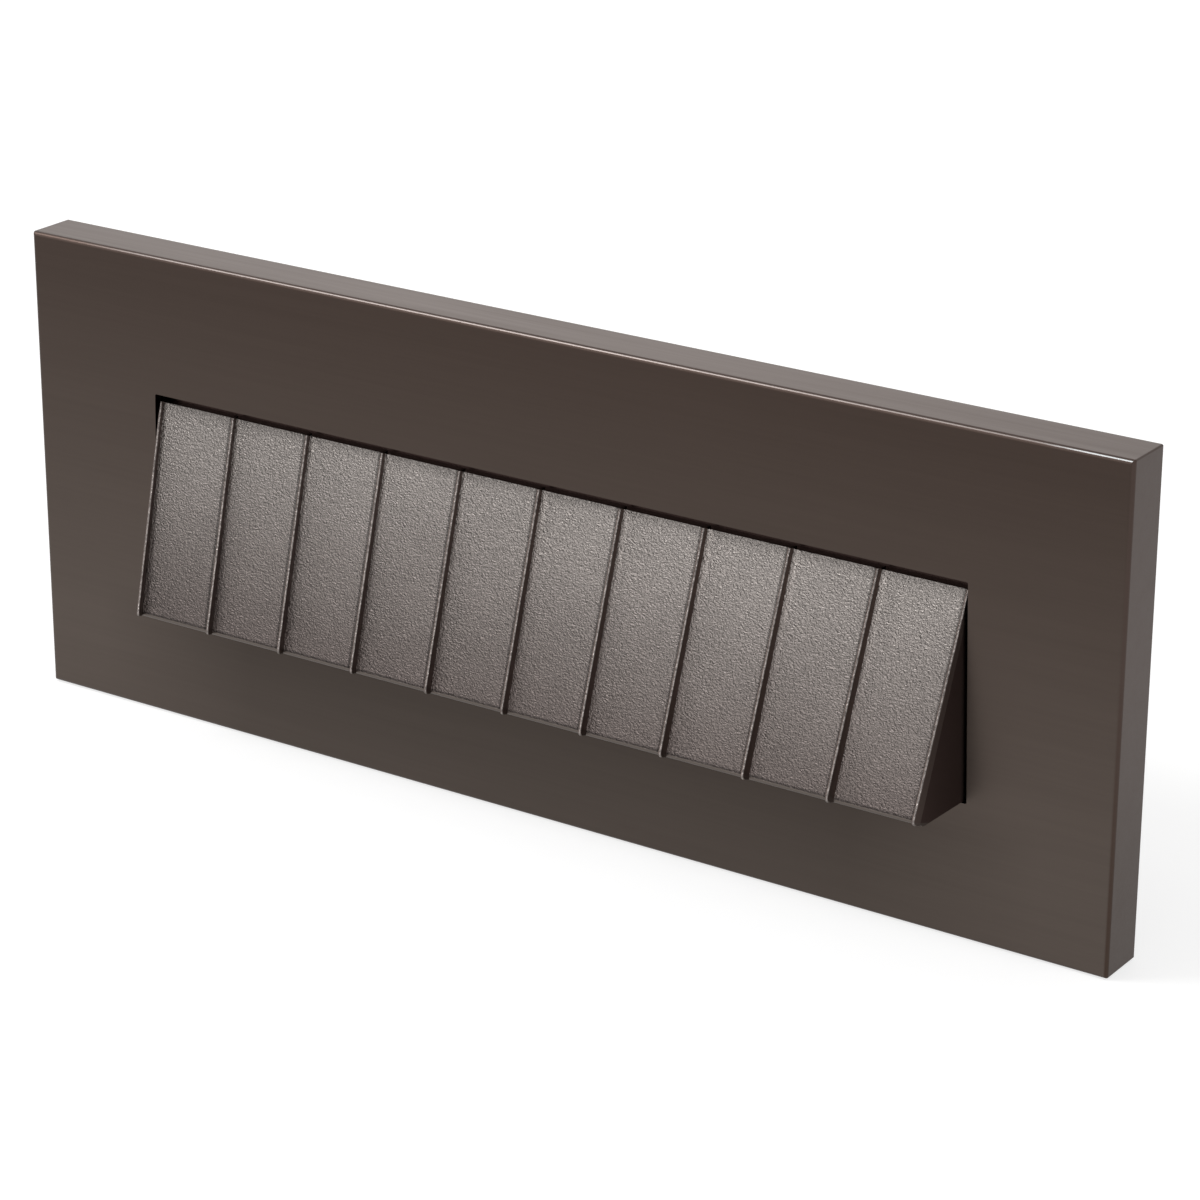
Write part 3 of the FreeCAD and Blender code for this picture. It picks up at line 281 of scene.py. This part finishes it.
def hood_bronze():
    """Pebbled panels between ribs with painted beaded highlights on the crests; smooth ends and a
    lip painted paler for the light its round catches.
    """
    t = Tree("bronze_hood")
    x, y, z = t.axes()
    slope = SLOPE_BOTTOM - SLOPE_TOP
    down = slope.normalized()
    out = Vector((0.0, down.z, -down.y))
    height = t.math("SUBTRACT", t.along(t.place, out), SLOPE_TOP.dot(out))
    run = t.math("SUBTRACT", t.along(t.place, down), SLOPE_TOP.dot(down))
    facing = t.along(t.normal, out)
    sideways = t.along(t.normal, (1.0, 0.0, 0.0))

    lean = t.math("MULTIPLY", t.math("SUBTRACT", WINDOW_TOP, z), END_LEAN)
    draft = t.math("MULTIPLY", t.math("SUBTRACT", y, FACE_FRONT), END_DRAFT)
    span = t.math("ADD", t.math("ADD", lean, draft), END_RIB_X)
    pitch = t.math("MULTIPLY", span, 2.0 / RIB_GAPS)
    bay = t.math("DIVIDE", x, pitch)
    before_rib = t.math("MULTIPLY", t.math("SUBTRACT", t.math("ROUND", bay), bay), pitch)

    lip_start = slope.length - LIP_BAND
    on_slope = t.math("LESS_THAN", t.math("ABSOLUTE", height), SLOPE_PLAY)
    panel = t.math("MULTIPLY", on_slope, t.remap(facing, 0.75, 0.9))
    raised = t.math("GREATER_THAN", height, RIB_SIDE)
    crest = t.math("MULTIPLY", t.remap(height, *RIB_SHOULDER), t.remap(facing, 0.4, 0.65))
    lip = t.math("MULTIPLY", t.remap(run, lip_start - LIP_EDGE, lip_start + LIP_EDGE),
                 t.remap(facing, 0.0, 0.4))
    # Painted shade: a dark line along the panels just above the lip.
    lip_shade = t.math("MULTIPLY", t.remap(run, *(lip_start + at for at in LIP_SHADE_RANGE)),
                    t.remap(run, lip_start + LIP_EDGE, lip_start - LIP_EDGE))

    # Painted light and shade on the lumps: each lump's lit side is paler, its far side darker.
    lumps = pebbles(t)
    relief = t.math("SUBTRACT", lumps, pebbles(t, LUMP_SHIFT))
    cloud = t.noise(60.0, 3.0, 0.6)
    light = t.math("ADD", t.remap(relief, -0.2, 0.2, 0.25, 1.75),
                   t.remap(cloud, 0.3, 0.7, -0.07, 0.07))
    # Painted light: the panels get paler towards the right.
    light = t.math("MULTIPLY", light, t.remap(x, *PALER_PANELS, 1.04, 1.26))
    # Painted shade on the panel beside each rib's left foot.
    root_shade = t.remap(run, 0.0, slope.length, *ROOT_SHADE_WIDTH)
    root_shade = t.remap(t.math("SUBTRACT", before_rib, root_shade), 0.0, ROOT_SHADE_EDGE, 0.5, 1.0)
    # Painted light on the panel beside each rib's right foot.
    root_light = t.remap(before_rib, *ROOT_LIGHT_RANGE, 1.0, 1.75)
    root = t.blend(t.math("GREATER_THAN", before_rib, 0.0), root_light, root_shade)
    edge = t.math("MULTIPLY", root, t.remap(lip_shade, 0.0, 1.0, 1.0, 0.45))
    # Painted light: paler at the top of the slope, darker at its bottom.
    colour = t.mix(t.math("DIVIDE", run, slope.length), PANEL_TOP, PANEL_BOTTOM)
    colour = t.tinted(colour, t.math("MULTIPLY", light, edge))
    colour = t.mix(panel, t.mix(raised, HOOD_END, RIB_FLANK), colour)
    # The lip is painted paler for the light its round catches.
    colour = t.mix(lip, colour, LIP)
    # Painted beaded highlight on the right-facing half of each crest, the flank colour on its left.
    highlight_beads = t.remap(t.noise(1900.0, 1.0), 0.35, 0.65, 0.6, 1.3)
    crest_highlight = t.mix(t.remap(sideways, -0.05, 0.2), RIB_FLANK, t.tinted(RIB_CREST_HIGHLIGHT, highlight_beads))
    t.set("Base Color", t.mix(crest, colour, crest_highlight))
    t.set("Metallic", 1.0)
    t.set("Roughness", t.remap(panel, 0.0, 1.0, 0.34, 0.40))
    grain = t.math("MULTIPLY", t.math("MAXIMUM", panel, crest),
                   t.math("SUBTRACT", 1.0, lip, clamp=True))
    t.set("Normal", t.bump(lumps, LUMP_DEPTH, t.remap(grain, 0.0, 1.0, 0.03, 1.0)))
    return t.material


# --- finishes behind the trim

def cast_paint(name, colour, grit=1300.0, rough=0.5):
    t = Tree(name)
    peel = t.noise(grit, 2.0, 0.5)
    cloud = t.noise(30.0, 3.0, 0.6)
    shades = shade(colour, 0.92), shade(colour, 1.06)
    t.set("Base Color", t.mix(t.remap(cloud, 0.35, 0.65), *shades))
    t.set("Roughness", t.remap(cloud, 0.3, 0.7, rough - 0.06, rough + 0.08))
    t.set("Normal", t.bump(peel, SKIN_DEPTH, 0.8))
    return t.material


def metal(name, colour, rough, along=(1.0, 1.0, 1.0), scale=900.0, depth=0.35):
    """Bare or plated metal, with marks drawn out along the axes whose factor is small."""
    t = Tree(name)
    marks = t.noise(1.0, 3.0, 0.6, t.scaled(*(scale * f for f in along)))
    cloud = t.noise(90.0, 2.0)
    tone = t.math("ADD", t.math("MULTIPLY", marks, 0.6), t.math("MULTIPLY", cloud, 0.4))
    shades = shade(colour, 0.86), shade(colour, 1.08)
    t.set("Base Color", t.mix(t.remap(tone, 0.3, 0.7), *shades))
    t.set("Metallic", 1.0)
    t.set("Roughness", t.remap(tone, 0.3, 0.7, rough - 0.08, rough + 0.1))
    t.set("Normal", t.bump(marks, MARK_DEPTH, depth))
    return t.material


def galvanised():
    t = Tree("galvanised_sheet")
    flower = t.add("ShaderNodeSeparateColor")
    t.put(flower.inputs[0], t.cells(190.0, output="Color"))
    facet = flower.outputs[0]
    grain = t.noise(700.0, 3.0, 0.6)
    tone = t.math("ADD", t.math("MULTIPLY", facet, 0.7), t.math("MULTIPLY", grain, 0.3))
    t.set("Base Color", t.mix(tone, (0.42, 0.43, 0.43), (0.64, 0.65, 0.64)))
    t.set("Metallic", 1.0)
    t.set("Roughness", t.remap(tone, 0.0, 1.0, 0.30, 0.52))
    t.set("Normal", t.bump(grain, MARK_DEPTH, 0.3))
    return t.material


def foam(name, colour, pore=1500.0):
    t = Tree(name)
    pores = t.cells(pore)
    shades = shade(colour, 0.65), shade(colour, 1.15)
    t.set("Base Color", t.mix(t.remap(pores, 0.1, 0.6), *shades))
    t.set("Roughness", 0.85)
    t.set("Normal", t.bump(pores, SKIN_DEPTH, 0.6))
    return t.material


def plastic(name, colour, rough, scale=500.0, coat=0.0):
    t = Tree(name)
    cloud = t.noise(scale, 2.0)
    shades = shade(colour, 0.93), shade(colour, 1.05)
    t.set("Base Color", t.mix(t.remap(cloud, 0.35, 0.65), *shades))
    t.set("Roughness", t.remap(cloud, 0.3, 0.7, rough - 0.05, rough + 0.05))
    t.set("Normal", t.bump(cloud, MARK_DEPTH, 0.3))
    t.set("Coat Weight", coat)
    return t.material


def board_mask():
    """White solder mask over raised tracks that run the length of the board."""
    t = Tree("board_mask")
    _, _, z = t.axes()
    across = t.math("PINGPONG", t.math("ADD", z, TRACK_SHIFT), TRACK_HALF_PITCH)
    track = t.remap(across, *TRACK_EDGE)
    speck = t.noise(900.0, 2.0)
    t.set("Base Color", t.mix(track, (0.80, 0.80, 0.78), (0.70, 0.71, 0.70)))
    t.set("Roughness", t.remap(speck, 0.3, 0.7, 0.32, 0.44))
    t.set("Normal", t.bump(track, TRACK_DEPTH, 0.6))
    return t.material


def phosphor():
    t = Tree("phosphor")
    speck = t.noise(3000.0, 2.0)
    t.set("Base Color", t.mix(speck, (0.80, 0.56, 0.10), (0.88, 0.70, 0.22)))
    t.set("Roughness", 0.12)
    t.set("Coat Weight", 1.0)
    return t.material


def clear_glass():
    t = Tree("clear_glass")
    ripple = t.noise(40.0, 1.0)
    t.set("Base Color", (0.96, 0.985, 0.98))
    t.set("Roughness", t.remap(ripple, 0.3, 0.7, 0.01, 0.04))
    t.set("Transmission Weight", 1.0)
    t.set("IOR", 1.5)
    t.set("Normal", t.bump(ripple, RIPPLE_DEPTH, 0.05))
    return t.material


assign(plate_bronze(), "faceplate")
assign(hood_bronze(), "hood")
assign(foam("gasket_black", (0.03, 0.03, 0.03)), "hood_gasket", "plug_seal", "lens_gasket",
       "lead_grommet")
assign(foam("gasket_grey", (0.22, 0.22, 0.22), 1100.0), "wall_gasket")
assign(metal("zinc_plate", (0.58, 0.59, 0.60), 0.34), "hood_screws", "clip_screws", "bracket_screws",
       "tray_screws", "board_screws", "frame_screws", "driver_screws", "earth_screw")
assign(metal("spring_strip", (0.46, 0.45, 0.43), 0.30, (1.0, 0.06, 0.06), 2600.0), "spring_clips")
assign(cast_paint("box_paint", (0.33, 0.33, 0.325), 900.0), "back_box", "conduit_plug")
assign(galvanised(), "mounting_bracket")
assign(metal("cast_aluminium", (0.56, 0.56, 0.57), 0.46, scale=1300.0), "led_tray")
assign(cast_paint("black_powder", (0.028, 0.028, 0.028), 1800.0, 0.55), "lens_frame")
assign(foam("thermal_pad", (0.30, 0.36, 0.42), 2600.0), "thermal_pad")
assign(board_mask(), "led_board")
assign(phosphor(), "led_emitters")
assign(plastic("terminal_white", (0.78, 0.77, 0.72), 0.35), "board_terminal")
assign(plastic("reflector_white", (0.84, 0.84, 0.82), 0.45, 200.0), "reflector")
assign(clear_glass(), "lens")
assign(metal("driver_silver", (0.55, 0.56, 0.57), 0.42, (0.03, 1.0, 1.0), 1500.0), "driver_case")
assign(plastic("potting", (0.03, 0.03, 0.033), 0.30, 120.0), "driver_potting")
assign(plastic("lead_red", (0.50, 0.025, 0.018), 0.42), "output_lead_positive")
assign(plastic("lead_black", (0.025, 0.025, 0.025), 0.42), "output_lead_negative", "input_lead_line")
assign(plastic("lead_white", (0.74, 0.74, 0.71), 0.42), "input_lead_neutral")
assign(plastic("lead_green", (0.03, 0.24, 0.06), 0.42), "earth_lead")
assign(plastic("connector_orange", (0.75, 0.20, 0.02), 0.38, coat=0.2), "wire_connectors")
assign(metal("plain_brass", (0.66, 0.48, 0.20), 0.32), "earth_terminal")


# --- floor, lamps and world

def make_floor():
    mesh = bpy.data.meshes.new("floor")
    z = cad_lo.z - FLOOR_GAP
    corners = [(sx * FLOOR_HALF, sy * FLOOR_HALF, z)
               for sx, sy in ((-1, -1), (1, -1), (1, 1), (-1, 1))]
    mesh.from_pydata(corners, [], [(0, 1, 2, 3)])
    floor = bpy.data.objects.new("floor", mesh)
    bpy.context.scene.collection.objects.link(floor)
    t = Tree("pale_floor")
    t.set("Base Color", FLOOR_GREY)
    t.set("Roughness", 0.8)
    path = t.add("ShaderNodeLightPath")
    seen = t.math("MAXIMUM", path.outputs["Is Camera Ray"], path.outputs["Is Glossy Ray"])
    seen = t.math("MAXIMUM", seen, path.outputs["Is Transmission Ray"])
    t.set("Emission Color", (1.0, 1.0, 1.0))
    t.set("Emission Strength", t.math("MULTIPLY", seen, FLOOR_GLOW))
    mesh.materials.append(t.material)


def make_lamp(name, place, size, power, colour=(1.0, 1.0, 1.0)):
    """An area lamp that shines at the origin."""
    data = bpy.data.lights.new(name, "AREA")
    data.shape = "RECTANGLE"
    data.size, data.size_y = size
    data.energy = power
    data.color = colour
    lamp = bpy.data.objects.new(name, data)
    turn = (-Vector(place)).to_track_quat("-Z", "Y").to_matrix().to_4x4()
    lamp.matrix_world = Matrix.Translation(place) @ turn
    bpy.context.scene.collection.objects.link(lamp)


def make_world():
    world = bpy.data.worlds.new("white_room")
    bpy.context.scene.world = world
    world.use_nodes = True
    tree = world.node_tree
    back = tree.nodes["Background"]
    back.inputs["Color"].default_value = (1.0, 1.0, 1.0, 1.0)
    path = tree.nodes.new("ShaderNodeLightPath")
    either = tree.nodes.new("ShaderNodeMath")
    either.operation = "MAXIMUM"
    tree.links.new(path.outputs["Is Camera Ray"], either.inputs[0])
    tree.links.new(path.outputs["Is Glossy Ray"], either.inputs[1])
    both = tree.nodes.new("ShaderNodeMath")
    both.operation = "MAXIMUM"
    tree.links.new(either.outputs[0], both.inputs[0])
    tree.links.new(path.outputs["Is Transmission Ray"], both.inputs[1])
    level = tree.nodes.new("ShaderNodeMapRange")
    level.inputs["To Min"].default_value = WORLD_LIGHT
    level.inputs["To Max"].default_value = 1.0
    tree.links.new(both.outputs[0], level.inputs["Value"])
    tree.links.new(level.outputs["Result"], back.inputs["Strength"])


def make_camera():
    data = bpy.data.cameras.new("camera")
    data.sensor_width = 36.0
    data.lens = CAMERA_LENS
    data.clip_end = 20.0
    camera = bpy.data.objects.new("camera", data)
    rows = list(zip(CAMERA_RIGHT, CAMERA_UP, CAMERA_BACK, CAMERA_PLACE))
    camera.matrix_world = Matrix(rows + [(0.0, 0.0, 0.0, 1.0)])
    bpy.context.scene.collection.objects.link(camera)
    bpy.context.scene.camera = camera


make_floor()
make_lamp("edge_lamp", (-0.57, -0.40, 0.85), (0.35, 0.35), 6.5)
make_lamp("back_lamp", (-0.60, 0.89, 0.42), (0.6, 0.4), 0.54, (1.0, 0.88, 0.80))
make_lamp("front_lamp", (-0.55, -0.9, 0.30), (0.6, 0.4), 1.6)
make_world()
make_camera()
bpy.context.scene.view_settings.view_transform = "Standard"
